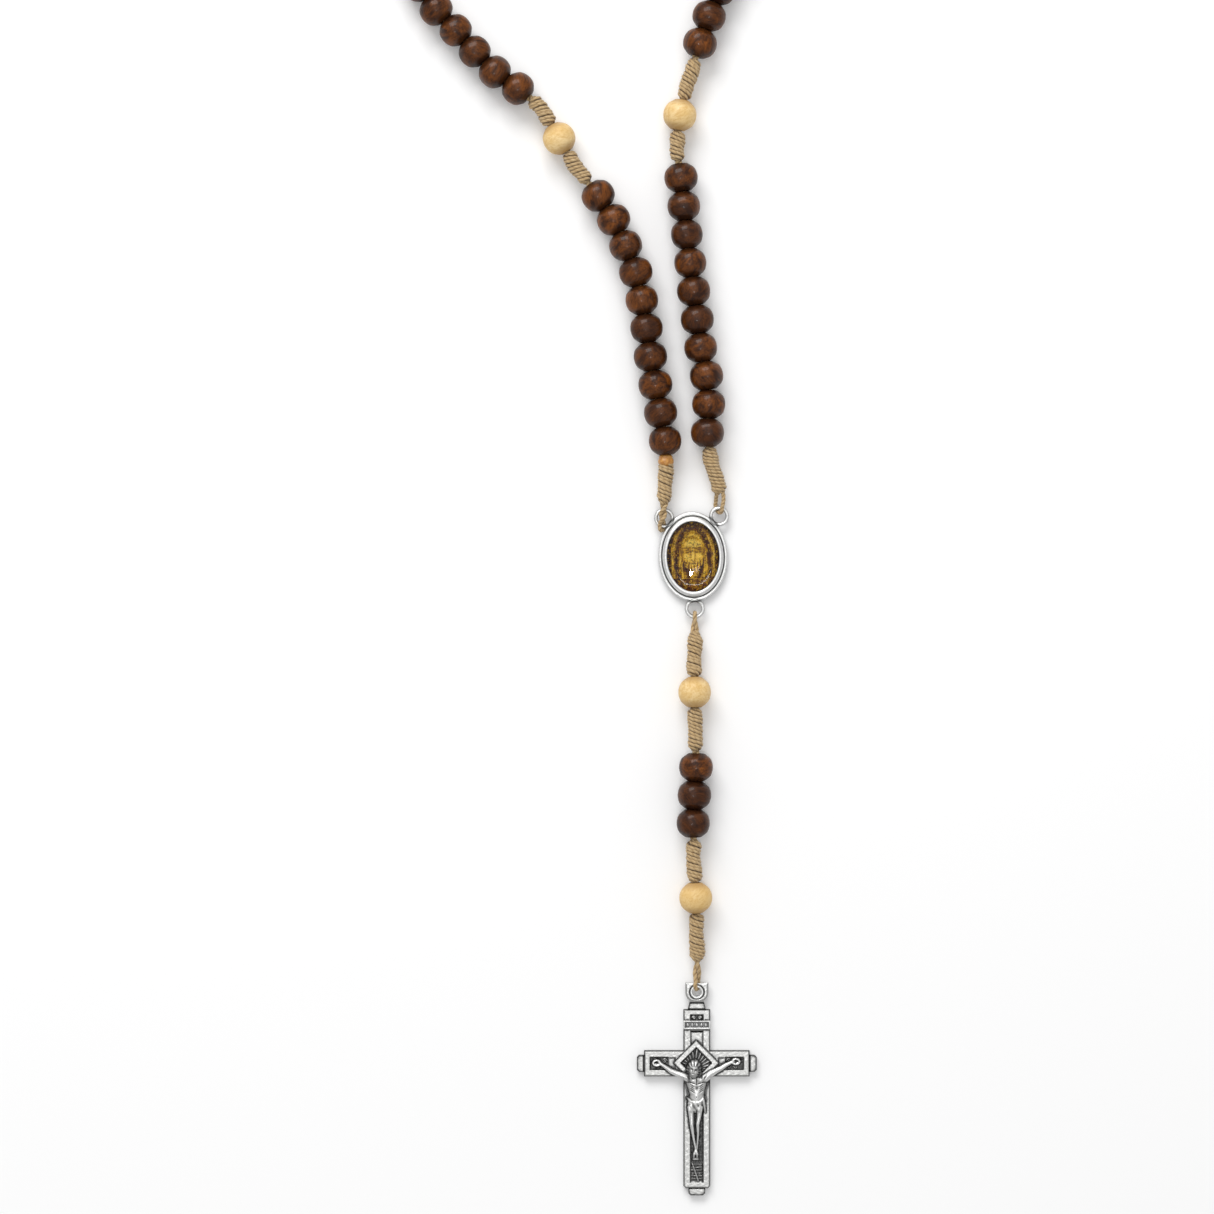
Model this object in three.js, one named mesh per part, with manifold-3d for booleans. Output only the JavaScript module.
// A five-decade rosary laid flat: a loop of wooden beads on knotted cord, an oval centre medal,
// and a pendant that ends in a cast crucifix. Millimetres, +Z up. The origin is the middle of the
// medal's back, +Y runs up the loop and -Y down the pendant.
import * as THREE from 'three';
import { mergeVertices } from 'three/addons/utils/BufferGeometryUtils.js';
import Module from 'manifold-3d';

// ---- driving dimensions --------------------------------------------------------------------

const BROWN_BEAD = { radius: 3.5, length: 5.6, endRadius: 1.9, pitch: 5.96 };
const LIGHT_BEAD = { radius: 3.5, length: 6.2, endRadius: 1.7, pitch: 6.6 };
const BORE_RADIUS = 0.95;
const BEADS_PER_DECADE = 10;

const CORD_RADIUS = 0.6;         // the pair of strands that the beads are strung on
const STRAND_RADIUS = 0.375;     // one strand, where the pair opens into an eye
const KNOT = { radius: 1.6, endRadius: 0.8, taper: 1.4, inset: 0.4 };
const CUT_GAP = 0.22;            // from each bending place to the end of the cord on either side
const EYE_RADIUS = 1.05;         // an eye's centreline round the wire that it hangs on

const MEDAL = {
  halfWidth: 7.27, halfHeight: 9.38, rim: 1.3, bezel: 0.6, top: 2.3, tilt: 2,
  pictureHalfWidth: 5.45, pictureHalfHeight: 7.32, recess: 0.6, pictureThickness: 0.2,
};
const RING = { radius: 1.725, wire: 0.33, height: 1.45, upperX: 5.75, upperY: 8.25, lowerY: -10.9 };
const FIT_GAP = 0.3;             // between pieces that rest on or in each other

const CROSS = {
  x: 0.8, thickness: 1.7, postWidth: 5.6, postTop: -94.8, postBottom: -132.2,
  barTop: -103.4, barBottom: -108.8, barHalf: 11.05,
  stubWidth: 3.5, stubLength: 1.5, neckTop: -93.0, neckWidth: 3.3,
};
const BAIL = { y: -91.1, halfWidth: 2.45, top: -89.25, bottom: -93.3, hole: 1.1, thickness: 0.9 };

const ROUND = 10;                // sides of a bead
const COLOURS = {
  brownWood: 0x4a2416, lightWood: 0xd9b274, cord: 0xc4a470, silver: 0xc9c9c6,
  picture: 0x6b4a16, glass: 0xf4f1e8,
};

// The cord's course round the loop, from the left ring up, over the far side and down to the
// right ring, as points [x, y, z].
const LOOP_ROUTE = [
  [-6.05, 10.9, 2.6], [-5.8, 16.2, 2.9], [-5.75, 21.2, 3.4], [-6.0, 26.0, 3.5], [-7.4, 32.6, 3.5],
  [-8.9, 41.4, 3.5], [-10.7, 53.3, 3.5], [-12.0, 59.3, 3.5], [-14.1, 65.0, 3.5], [-16.7, 70.4, 3.5],
  [-20.0, 75.5, 3.5], [-24.4, 81.3, 3.5], [-28.1, 87.4, 3.5], [-31.7, 93.3, 3.5], [-36.6, 97.7, 3.5],
  [-41.5, 101.2, 3.5], [-49.4, 109.7, 3.5], [-54.0, 114.6, 3.5],
  [-60.2, 125.8, 3.5], [-63.6, 142.4, 3.5], [-59.2, 161.2, 3.5], [-47.2, 175.2, 3.5],
  [-30.6, 182.2, 3.5], [-13.2, 181.0, 3.5], [1.9, 172.4, 3.5], [11.9, 158.6, 3.5],
  [15.0, 142.4, 3.5], [11.3, 129.0, 3.5], [5.4, 118.1, 3.5],
  [1.2, 106.5, 3.5], [-1.0, 99.0, 3.5], [-2.9, 91.6, 3.5], [-3.4, 85.4, 3.5], [-2.5, 78.6, 3.5],
  [-1.3, 66.5, 3.5], [0.2, 54.8, 3.5], [1.7, 43.0, 3.5], [3.2, 34.5, 3.5], [3.1, 24.0, 3.5],
  [5.7, 13.1, 1.9],
];
// The cord's course down the pendant, from the throat of the medal's eye to the crucifix's.
const PENDANT_ROUTE = [
  [0.35, -15.5, 1.9], [0.25, -21.0, 2.6], [0.3, -28.3, 3.6], [0.35, -36.0, 3.5], [0.6, -43.9, 3.5],
  [0.2, -49.8, 3.5], [0.0, -55.7, 3.5], [0.2, -63.0, 3.5], [0.5, -71.0, 3.5], [0.8, -78.5, 2.7],
  [0.9, -84.6, 1.9],
];
const LEFT_EYE = { ringAngle: -107, throat: 4.4 };
const RIGHT_EYE = { ringAngle: 85, throat: 3.0 };

// ---- solids and geometry helpers -----------------------------------------------------------

const wasm = await Module();
wasm.setup();

function toSolid(geometry, matrix = new THREE.Matrix4()) {
  const bare = geometry.clone().applyMatrix4(matrix);
  bare.deleteAttribute('normal');
  bare.deleteAttribute('uv');
  const merged = mergeVertices(bare, 1e-4);
  return new wasm.Manifold(new wasm.Mesh({
    numProp: 3,
    vertProperties: new Float32Array(merged.attributes.position.array),
    triVerts: new Uint32Array(merged.index.array),
  }));
}

function toGeometry(solid) {
  const mesh = solid.getMesh();
  const geometry = new THREE.BufferGeometry();
  geometry.setAttribute('position', new THREE.BufferAttribute(mesh.vertProperties, 3));
  geometry.setIndex(new THREE.BufferAttribute(mesh.triVerts, 1));
  geometry.computeVertexNormals();
  return geometry;
}

const joinAll = (solids) => solids.reduce((whole, next) => whole.add(next));
const point = (x, y, z) => new THREE.Vector3(x, y, z);
const radians = THREE.MathUtils.degToRad;

// A matrix that carries local +Y onto a direction and the origin onto a place.
function alongY(place, direction) {
  const turn = new THREE.Quaternion().setFromUnitVectors(point(0, 1, 0), direction);
  return new THREE.Matrix4().compose(place, turn, point(1, 1, 1));
}

// A turned body about Y from [radius, y] pairs, closed on itself.
function turned(profile, sides) {
  const outline = profile.map(([radius, y]) => new THREE.Vector2(radius, y));
  return new THREE.LatheGeometry([...outline, outline[0].clone()], sides);
}

// A round cord of one radius along a curve.
function cordAlong(curve, radius, steps) {
  const section = new THREE.Shape().absarc(0, 0, radius, 0, 2 * Math.PI);
  return toSolid(new THREE.ExtrudeGeometry(section, { extrudePath: curve, steps, curveSegments: 4 }));
}

// A flat shape raised from one height to another, with its upper and lower edges bevelled.
function raised(shape, low, high, bevel = 0, curveSegments = 16) {
  const geometry = new THREE.ExtrudeGeometry(shape, {
    depth: high - low - 2 * bevel, bevelEnabled: bevel > 0, bevelSize: bevel, bevelOffset: -bevel,
    bevelThickness: bevel, bevelSegments: 1, curveSegments,
  });
  return toSolid(geometry, new THREE.Matrix4().makeTranslation(0, 0, low + bevel));
}

const ellipse = (x, y, halfX, halfY) => new THREE.Shape().absellipse(x, y, halfX, halfY, 0, 2 * Math.PI);

function polygon(points) {
  return new THREE.Shape(points.map(([x, y]) => new THREE.Vector2(x, y)));
}

// ---- materials -----------------------------------------------------------------------------

const brownWood = new THREE.MeshStandardMaterial({ color: COLOURS.brownWood, roughness: 0.35 });
const lightWood = new THREE.MeshStandardMaterial({ color: COLOURS.lightWood, roughness: 0.4 });
const cordFibre = new THREE.MeshStandardMaterial({ color: COLOURS.cord, roughness: 0.85 });
const silver = new THREE.MeshStandardMaterial({ color: COLOURS.silver, roughness: 0.35, metalness: 1 });
const print = new THREE.MeshStandardMaterial({ color: COLOURS.picture, roughness: 0.6 });
const resin = new THREE.MeshStandardMaterial({
  color: COLOURS.glass, roughness: 0.05, transparent: true, opacity: 0.35,
});

const rosary = new THREE.Group();

function addPiece(name, geometry, material, matrix = new THREE.Matrix4()) {
  const mesh = new THREE.Mesh(geometry, material);
  mesh.name = name;
  matrix.decompose(mesh.position, mesh.quaternion, mesh.scale);
  rosary.add(mesh);
  return mesh;
}

// ---- the routes and what is strung on them -------------------------------------------------

class Route {
  constructor(points) {
    this.curve = new THREE.CatmullRomCurve3(points.map((p) => point(...p)), false, 'centripetal');
    this.curve.arcLengthDivisions = 3000;
    this.length = this.curve.getLength();
  }

  at(distance) {
    return this.curve.getPointAt(distance / this.length);
  }

  directionAt(distance) {
    return this.curve.getTangentAt(distance / this.length);
  }

  frameAt(distance) {
    return alongY(this.at(distance), this.directionAt(distance));
  }
}

// The part of a route from one distance to another, as a curve of its own.
class Stretch extends THREE.Curve {
  constructor(route, start, end) {
    super();
    Object.assign(this, { route, start, end });
  }

  getPoint(t, target = new THREE.Vector3()) {
    return target.copy(this.route.at(this.start + (this.end - this.start) * t));
  }
}

const knot = (length) => ({ kind: 'knot', length });
const lightBead = (name) => ({ kind: 'light', name, length: LIGHT_BEAD.pitch });
const brownBead = (name) => ({ kind: 'brown', name, length: BROWN_BEAD.pitch });

function decade(number, first, last) {
  const beads = [];
  const step = Math.sign(last - first);
  for (let i = first; i !== last + step; i += step) {
    beads.push(brownBead(`decade_${number}_bead_${String(i).padStart(2, '0')}`));
  }
  return beads;
}

// Gives each item its start along the route. The items share the room evenly between two places.
function layOut(items, from, to) {
  const natural = items.reduce((sum, item) => sum + item.length, 0);
  const stretch = (to - from) / natural;
  let start = from;
  for (const item of items) {
    item.start = start;
    item.end = start + item.length * stretch;
    start = item.end;
  }
  return items;
}

const lengthOf = (items) => items.reduce((sum, item) => sum + item.length, 0);

// ---- beads ---------------------------------------------------------------------------------

function beadProfile({ radius, length, endRadius }) {
  const half = length / 2;
  const shoulder = half * 0.7;
  const shoulderRadius = Math.sqrt(radius ** 2 - shoulder ** 2);
  return [
    [BORE_RADIUS, -half], [endRadius, -half], [shoulderRadius, -shoulder], [radius, 0],
    [shoulderRadius, shoulder], [endRadius, half], [BORE_RADIUS, half],
  ];
}

const brownGeometry = turned(beadProfile(BROWN_BEAD), ROUND);
const lightGeometry = turned(beadProfile(LIGHT_BEAD), ROUND);

function threadBeads(route, items) {
  for (const item of items) {
    const frame = route.frameAt((item.start + item.end) / 2);
    if (item.kind === 'brown') addPiece(item.name, brownGeometry, brownWood, frame);
    if (item.kind === 'light') addPiece(item.name, lightGeometry, lightWood, frame);
  }
}

// Bends a straight turned piece, which stands along Y, so that its axis follows a level route.
function bentAlong(geometry, route, start) {
  const places = geometry.attributes.position;
  for (let i = 0; i < places.count; i += 1) {
    const distance = start + places.getY(i);
    const direction = route.directionAt(distance);
    const side = point(direction.y, -direction.x, 0);
    const place = route.at(distance).addScaledVector(side, places.getX(i));
    places.setXYZ(i, place.x, place.y, place.z + places.getZ(i));
  }
  return geometry;
}

// Neighbouring beads of a decade as one solid, joined where their end faces meet.
function threadString(name, route, items) {
  const { radius, endRadius } = BROWN_BEAD;
  const first = items[0].start;
  const inset = 0.25;
  const outer = [];
  const bore = [];
  for (const item of items) {
    const middle = (item.start + item.end) / 2 - first;
    const half = (item.end - item.start) / 2;
    const shoulder = half * 0.65;
    const shoulderRadius = Math.sqrt(radius ** 2 - shoulder ** 2);
    outer.push([endRadius, middle - half + (item === items[0] ? inset : 0)]);
    outer.push([shoulderRadius, middle - shoulder], [radius, middle], [shoulderRadius, middle + shoulder]);
    bore.unshift([BORE_RADIUS, middle]);
  }
  const length = items.at(-1).end - first;
  outer.push([endRadius, length - inset]);
  const profile = [...outer, [BORE_RADIUS, length - inset], ...bore, [BORE_RADIUS, inset]];
  addPiece(name, toGeometry(toSolid(bentAlong(turned(profile, 8), route, first))), brownWood);
}

// ---- cord, knots and eyes ------------------------------------------------------------------

function knotSolid(route, item) {
  const start = route.at(item.start + KNOT.inset);
  const end = route.at(item.end - KNOT.inset);
  const half = start.distanceTo(end) / 2;
  const barrel = turned([
    [0, -half], [KNOT.endRadius, -half], [KNOT.radius, -half + KNOT.taper],
    [KNOT.radius, half - KNOT.taper], [KNOT.endRadius, half], [0, half],
  ], 8);
  const middle = start.clone().add(end).multiplyScalar(0.5);
  return toSolid(barrel, alongY(middle, end.clone().sub(start).normalize()));
}

// The cord from one distance to another with the knots that are tied in it.
function knottedCord(route, items, start, end) {
  const coreStep = 5;
  const steps = Math.max(4, Math.round((end - start) / coreStep));
  const core = cordAlong(new Stretch(route, start, end), CORD_RADIUS, steps);
  const knots = items.filter((item) => item.kind === 'knot').map((item) => knotSolid(route, item));
  return joinAll([core, ...knots]);
}

// A hairpin of one strand round a wire. Its points are [along, up]: along the way from the wire
// to the throat, and up from the table.
function hairpin(wire, towards, profile) {
  const along = towards.clone().sub(wire).setZ(0).normalize();
  const points = profile.map(([u, height]) => point(wire.x + along.x * u, wire.y + along.y * u, height));
  const curve = new THREE.CatmullRomCurve3(points, false, 'centripetal');
  return cordAlong(curve, STRAND_RADIUS, 18);
}

// An eye whose legs run level with the wire: round it and back to a throat.
function levelProfile(height, throat, throatHeight) {
  const legs = STRAND_RADIUS + 0.015;
  const turn = EYE_RADIUS * Math.SQRT1_2;
  const widest = [1.0, EYE_RADIUS * 0.92];
  return [
    [throat, throatHeight + legs], [widest[0], height + widest[1]], [0, height + EYE_RADIUS],
    [-turn, height + turn], [-EYE_RADIUS, height], [-turn, height - turn],
    [0, height - EYE_RADIUS], [widest[0], height - widest[1]], [throat, throatHeight - legs],
  ];
}

// An eye whose legs both pass over the far side of the ring that it hangs on.
function overProfile(height, throat, throatHeight) {
  const legs = STRAND_RADIUS + 0.015;
  const turn = EYE_RADIUS * Math.SQRT1_2;
  const over = height + RING.wire + STRAND_RADIUS + 0.15;
  return [
    [throat, throatHeight + legs], [2 * RING.radius, over + 2 * legs], [1.2, over + 2 * legs - 0.3],
    [0, height + EYE_RADIUS], [-turn, height + turn], [-EYE_RADIUS, height],
    [-turn, height - turn], [0, height - EYE_RADIUS], [0.9, height - 0.75], [1.9, over - 0.75],
    [2 * RING.radius, over], [throat, throatHeight - legs],
  ];
}

// The whipping that closes a separate eye at its throat.
function throatCollar(place, direction) {
  const radius = 2 * STRAND_RADIUS + 0.05;
  const half = 0.45;
  const collar = turned([[0, -half], [radius, -half], [radius, half], [0, half]], 8);
  return toSolid(collar, alongY(place.clone().addScaledVector(direction, -half - 0.3), direction));
}

// ---- the medal -----------------------------------------------------------------------------

const medalTurn = new THREE.Matrix4().makeRotationZ(radians(MEDAL.tilt));
const ringCentres = {
  left: point(-RING.upperX, RING.upperY, RING.height).applyMatrix4(medalTurn),
  right: point(RING.upperX, RING.upperY, RING.height).applyMatrix4(medalTurn),
  lower: point(0, RING.lowerY, RING.height).applyMatrix4(medalTurn),
};

// The middle of a ring's wire at an angle round the ring, where an eye hangs.
function wirePoint(centre, angle) {
  const offset = point(Math.cos(radians(angle)), Math.sin(radians(angle)), 0);
  return centre.clone().addScaledVector(offset, RING.radius);
}

function buildMedal() {
  const { halfWidth, halfHeight, rim, bezel, top, pictureHalfWidth, pictureHalfHeight } = MEDAL;
  const plate = raised(ellipse(0, 0, halfWidth, halfHeight), 0, rim, 0.2);
  const wall = raised(ellipse(0, 0, halfWidth - bezel, halfHeight - bezel), 0.3, top, 0.35);
  const pocket = raised(ellipse(0, 0, pictureHalfWidth, pictureHalfHeight), MEDAL.recess, top + 1);
  const rings = Object.values(ringCentres).map((centre) => {
    const place = centre.clone().applyMatrix4(medalTurn.clone().invert());
    return toSolid(new THREE.TorusGeometry(RING.radius, RING.wire, 6, 16), new THREE.Matrix4().setPosition(place));
  });
  // The pocket is cut before the rings are joined, so no ring is cut by it.
  const frame = joinAll([plate.add(wall).subtract(pocket), ...rings]);
  addPiece('medal_frame', toGeometry(frame), silver, medalTurn);

  const inX = pictureHalfWidth - FIT_GAP;
  const inY = pictureHalfHeight - FIT_GAP;
  const pictureLow = MEDAL.recess + FIT_GAP;
  const pictureHigh = pictureLow + MEDAL.pictureThickness;
  const picture = raised(ellipse(0, 0, inX, inY), pictureLow, pictureHigh);
  addPiece('medal_picture', toGeometry(picture), print, medalTurn);

  const domeLow = pictureHigh + FIT_GAP;
  const domeHeight = 1.0;
  const crown = [];
  for (let i = 0; i <= 4; i += 1) {
    const angle = (i / 4) * (Math.PI / 2);
    crown.push([Math.cos(angle), 0.25 + 0.75 * Math.sin(angle)]);
  }
  const dome = turned([[0, 0], [1, 0], ...crown.slice(0, -1), [0, 1]], 24);
  // The turned dome stands along Y, so it is tipped up and scaled to the oval.
  const shape = new THREE.Matrix4().makeTranslation(0, 0, domeLow)
    .multiply(new THREE.Matrix4().makeScale(inX, inY, domeHeight))
    .multiply(new THREE.Matrix4().makeRotationX(Math.PI / 2));
  addPiece('medal_dome', toGeometry(toSolid(dome, shape)), resin, medalTurn);
}

// ---- the crucifix --------------------------------------------------------------------------

const rectangle = (x, y, halfX, halfY) => polygon([
  [x - halfX, y - halfY], [x + halfX, y - halfY], [x + halfX, y + halfY], [x - halfX, y + halfY],
]);

// A rounded limb between two places, as a capsule.
function limb(from, to, radius) {
  const length = from.distanceTo(to);
  const capsule = new THREE.CapsuleGeometry(radius, length, 2, 6, 1);
  const middle = from.clone().add(to).multiplyScalar(0.5);
  return toSolid(capsule, alongY(middle, to.clone().sub(from).normalize()));
}

function egg(x, y, z, halfX, halfY, halfZ) {
  const matrix = new THREE.Matrix4().makeTranslation(x, y, z).multiply(new THREE.Matrix4().makeScale(halfX, halfY, halfZ));
  return toSolid(new THREE.SphereGeometry(1, 8, 6), matrix);
}

function crossPlate() {
  const { x, thickness, postWidth, postTop, postBottom, barTop, barBottom, barHalf } = CROSS;
  const half = postWidth / 2;
  const outline = polygon([
    [x - half, postBottom], [x + half, postBottom], [x + half, barBottom], [x + barHalf, barBottom],
    [x + barHalf, barTop], [x + half, barTop], [x + half, postTop], [x - half, postTop],
    [x - half, barTop], [x - barHalf, barTop], [x - barHalf, barBottom], [x - half, barBottom],
  ]);
  const stubHalf = CROSS.stubWidth / 2;
  const barY = (barTop + barBottom) / 2;
  const stubs = [
    rectangle(x, postBottom, stubHalf, CROSS.stubLength),
    rectangle(x - barHalf, barY, CROSS.stubLength, stubHalf),
    rectangle(x + barHalf, barY, CROSS.stubLength, stubHalf),
  ].map((shape) => raised(shape, 0.2, thickness - 0.3, 0.15));
  return joinAll([raised(outline, 0, thickness, 0.2), ...stubs]);
}

// The panels sunk into the post and the arms, the name plate and the diamond behind the head.
function dressPlate(plate) {
  const { x, thickness, postTop, postBottom, barTop, barBottom } = CROSS;
  const barY = (barTop + barBottom) / 2;
  const depth = 0.35;
  const panel = (px, py, halfX, halfY) => raised(rectangle(px, py, halfX, halfY), thickness - depth, thickness + 1);
  const postMiddle = (postTop - 1.4 + postBottom + 1.2) / 2;
  const postHalf = (postTop - 1.4 - postBottom - 1.2) / 2;
  const sunk = joinAll([
    panel(x, postMiddle, 1.37, postHalf), panel(x - 7.0, barY, 1.95, 1.4), panel(x + 8.0 - 0.4, barY, 1.95, 1.4),
  ]);
  const plaque = raised(rectangle(x, postTop - 3.2, 2.95, 1.05), thickness - 0.6, thickness + 0.4, 0.15);
  const diamondY = barY + 0.2;
  const diamond = polygon([[x, diamondY - 4.8], [x + 4.8, diamondY], [x, diamondY + 4.8], [x - 4.8, diamondY]]);
  diamond.holes.push(polygon([[x, diamondY - 3.4], [x + 3.4, diamondY], [x, diamondY + 3.4], [x - 3.4, diamondY]]));
  return joinAll([plate.subtract(sunk), plaque, raised(diamond, thickness - 0.6, thickness + 0.3, 0.12)]);
}

function figure() {
  const { x, thickness } = CROSS;
  const low = thickness + 0.1;
  const handY = -106.0;
  const shoulderY = -108.9;
  const arm = (side, hand) => limb(
    point(x + side * 1.6, shoulderY, low + 0.35), point(x + hand, handY, low + 0.2), 0.5);
  const leg = (side) => joinAll([
    limb(point(x + side * 0.75, -115.0, low + 0.3), point(x + side * 0.6, -119.8, low + 0.65), 0.75),
    limb(point(x + side * 0.6, -119.8, low + 0.6), point(x - 0.3 + side * 0.25, -125.2, low + 0.1), 0.55),
  ]);
  return joinAll([
    arm(-1, -8.3), arm(1, 7.9),
    egg(x - 0.1, -110.2, low + 0.3, 1.85, 2.6, 0.9),
    egg(x - 0.2, -114.0, low + 0.3, 1.7, 2.3, 0.85),
    egg(x - 0.6, -106.8, low + 0.6, 1.4, 1.95, 0.95),
    leg(-1), leg(1),
    limb(point(x - 0.3, -125.4, low), point(x - 0.3, -127.2, low + 0.1), 0.55),
  ]);
}

function bailSolid() {
  const { x } = CROSS;
  const { y, halfWidth, top, bottom, hole, thickness } = BAIL;
  const shape = new THREE.Shape();
  shape.moveTo(x - halfWidth, top);
  shape.lineTo(x - halfWidth, y + 0.2);
  shape.bezierCurveTo(x - halfWidth, bottom + 0.9, x - 1.3, bottom, x, bottom);
  shape.bezierCurveTo(x + 1.3, bottom, x + halfWidth, bottom + 0.9, x + halfWidth, y + 0.2);
  shape.lineTo(x + halfWidth, top);
  const low = RING.height - thickness / 2;
  const plate = raised(shape, low, low + thickness, 0.2, 6);
  const opening = raised(ellipse(x, y, hole, hole), low - 1, low + thickness + 1, 0, 8);
  const neckHalf = CROSS.neckWidth / 2;
  const neckY = (CROSS.neckTop + CROSS.postTop - 0.5) / 2;
  const neckHalfHeight = (CROSS.neckTop - CROSS.postTop + 0.5) / 2;
  const neck = raised(rectangle(x, neckY, neckHalf, neckHalfHeight), 0.3, CROSS.thickness, 0.15);
  return plate.add(neck).subtract(opening);
}

function buildCrucifix() {
  addPiece('crucifix', toGeometry(joinAll([dressPlate(crossPlate()), bailSolid(), figure()])), silver);
}

// ---- the loop ------------------------------------------------------------------------------

function buildLoop() {
  const route = new Route(LOOP_ROUTE);
  const leftLower = [knot(10.3), ...decade(1, 1, BEADS_PER_DECADE)];
  const leftMiddle = [knot(8.2), lightBead('pater_bead_1'), knot(7.4)];
  const decadeTwo = decade(2, 1, BEADS_PER_DECADE);
  const rightLower = [...decade(5, BEADS_PER_DECADE, 1), knot(10.2)];
  const rightMiddle = [knot(9.3), lightBead('pater_bead_4'), knot(6.9)];
  const decadeThree = decade(3, 1, BEADS_PER_DECADE);
  const decadeFour = decade(4, BEADS_PER_DECADE, 1);

  // The near ends of the loop have their own spacing, and the far side shares what is left.
  const nearLeft = [...leftLower, ...leftMiddle, ...decadeTwo.slice(0, 5)];
  const nearRight = [...decadeFour.slice(-3), ...rightMiddle, ...rightLower];
  const far = [
    ...decadeTwo.slice(5), knot(8.0), lightBead('pater_bead_2'), knot(8.0),
    ...decadeThree, knot(8.0), lightBead('pater_bead_3'), knot(8.0), ...decadeFour.slice(0, -3),
  ];
  layOut(nearLeft, 0, lengthOf(nearLeft));
  layOut(nearRight, route.length - lengthOf(nearRight), route.length);
  layOut(far, lengthOf(nearLeft), route.length - lengthOf(nearRight));

  const joinedFour = decadeFour.slice(0, 5);
  threadBeads(route, [...leftLower, ...leftMiddle, ...decadeTwo, ...decadeFour.slice(5)]);
  threadBeads(route, [...rightMiddle, ...rightLower, ...far.filter((item) => item.kind === 'light')]);
  threadString('decade_3_string', route, decadeThree);
  threadString('decade_4_string', route, joinedFour);

  const bends = {
    leftLow: leftMiddle[0].start, leftHigh: leftMiddle[2].end,
    rightHigh: rightMiddle[0].start, rightLow: rightMiddle[2].end,
  };
  const cord = (name, items, start, end, extra = []) => {
    addPiece(name, toGeometry(joinAll([knottedCord(route, items, start, end), ...extra])), cordFibre);
  };
  const leftWire = wirePoint(ringCentres.left, LEFT_EYE.ringAngle);
  const leftThroat = route.at(KNOT.inset);
  const leftEye = hairpin(leftWire, leftThroat, overProfile(RING.height, LEFT_EYE.throat + 0.6, leftThroat.z));
  const rightWire = wirePoint(ringCentres.right, RIGHT_EYE.ringAngle);
  const rightThroat = route.at(route.length - KNOT.inset);
  const rightEye = hairpin(rightWire, rightThroat, levelProfile(RING.height, RIGHT_EYE.throat + 1.1, rightThroat.z));
  const knotStart = 2 * KNOT.inset;
  cord('left_lower_cord', leftLower, knotStart, bends.leftLow - CUT_GAP, [leftEye]);
  cord('left_middle_cord', leftMiddle, bends.leftLow + CUT_GAP, bends.leftHigh - CUT_GAP);
  cord('upper_cord', far, bends.leftHigh + CUT_GAP, bends.rightHigh - CUT_GAP);
  cord('right_middle_cord', rightMiddle, bends.rightHigh + CUT_GAP, bends.rightLow - CUT_GAP);
  cord('right_lower_cord', rightLower, bends.rightLow + CUT_GAP, route.length - knotStart, [rightEye]);
}

// ---- the pendant ---------------------------------------------------------------------------

function buildPendant() {
  const route = new Route(PENDANT_ROUTE);
  const upper = [knot(9.9), lightBead('pendant_pater_bead_1'), knot(9.7)];
  const middle = [1, 2, 3].map((number) => brownBead(`pendant_bead_${number}`));
  const lower = [knot(9.6), lightBead('pendant_pater_bead_2'), knot(10.4)];
  const items = layOut([...upper, ...middle, ...lower], 0, route.length);
  threadBeads(route, items);

  const bends = [middle[0].start, middle[2].end];
  const cord = (name, group, start, end) => {
    addPiece(name, toGeometry(knottedCord(route, group, start, end)), cordFibre);
  };
  const knotStart = 2 * KNOT.inset;
  cord('pendant_upper_cord', upper, knotStart, bends[0] - CUT_GAP);
  cord('pendant_middle_cord', middle, bends[0] + CUT_GAP, bends[1] - CUT_GAP);
  cord('pendant_lower_cord', lower, bends[1] + CUT_GAP, route.length - knotStart);

  const eye = (name, wire, throat) => {
    const direction = throat.clone().sub(wire).setZ(0);
    const reach = direction.length();
    const loop = hairpin(wire, throat, levelProfile(RING.height, reach - 0.5, throat.z));
    const collar = throatCollar(throat, direction.normalize());
    addPiece(name, toGeometry(loop.add(collar)), cordFibre);
  };
  eye('pendant_eye_cord', wirePoint(ringCentres.lower, -90), route.at(0));
  const bar = point(CROSS.x, (BAIL.top + BAIL.y + BAIL.hole) / 2, RING.height);
  eye('crucifix_eye_cord', bar, route.at(route.length));
}

buildMedal();
buildCrucifix();
buildLoop();
buildPendant();

export default rosary;
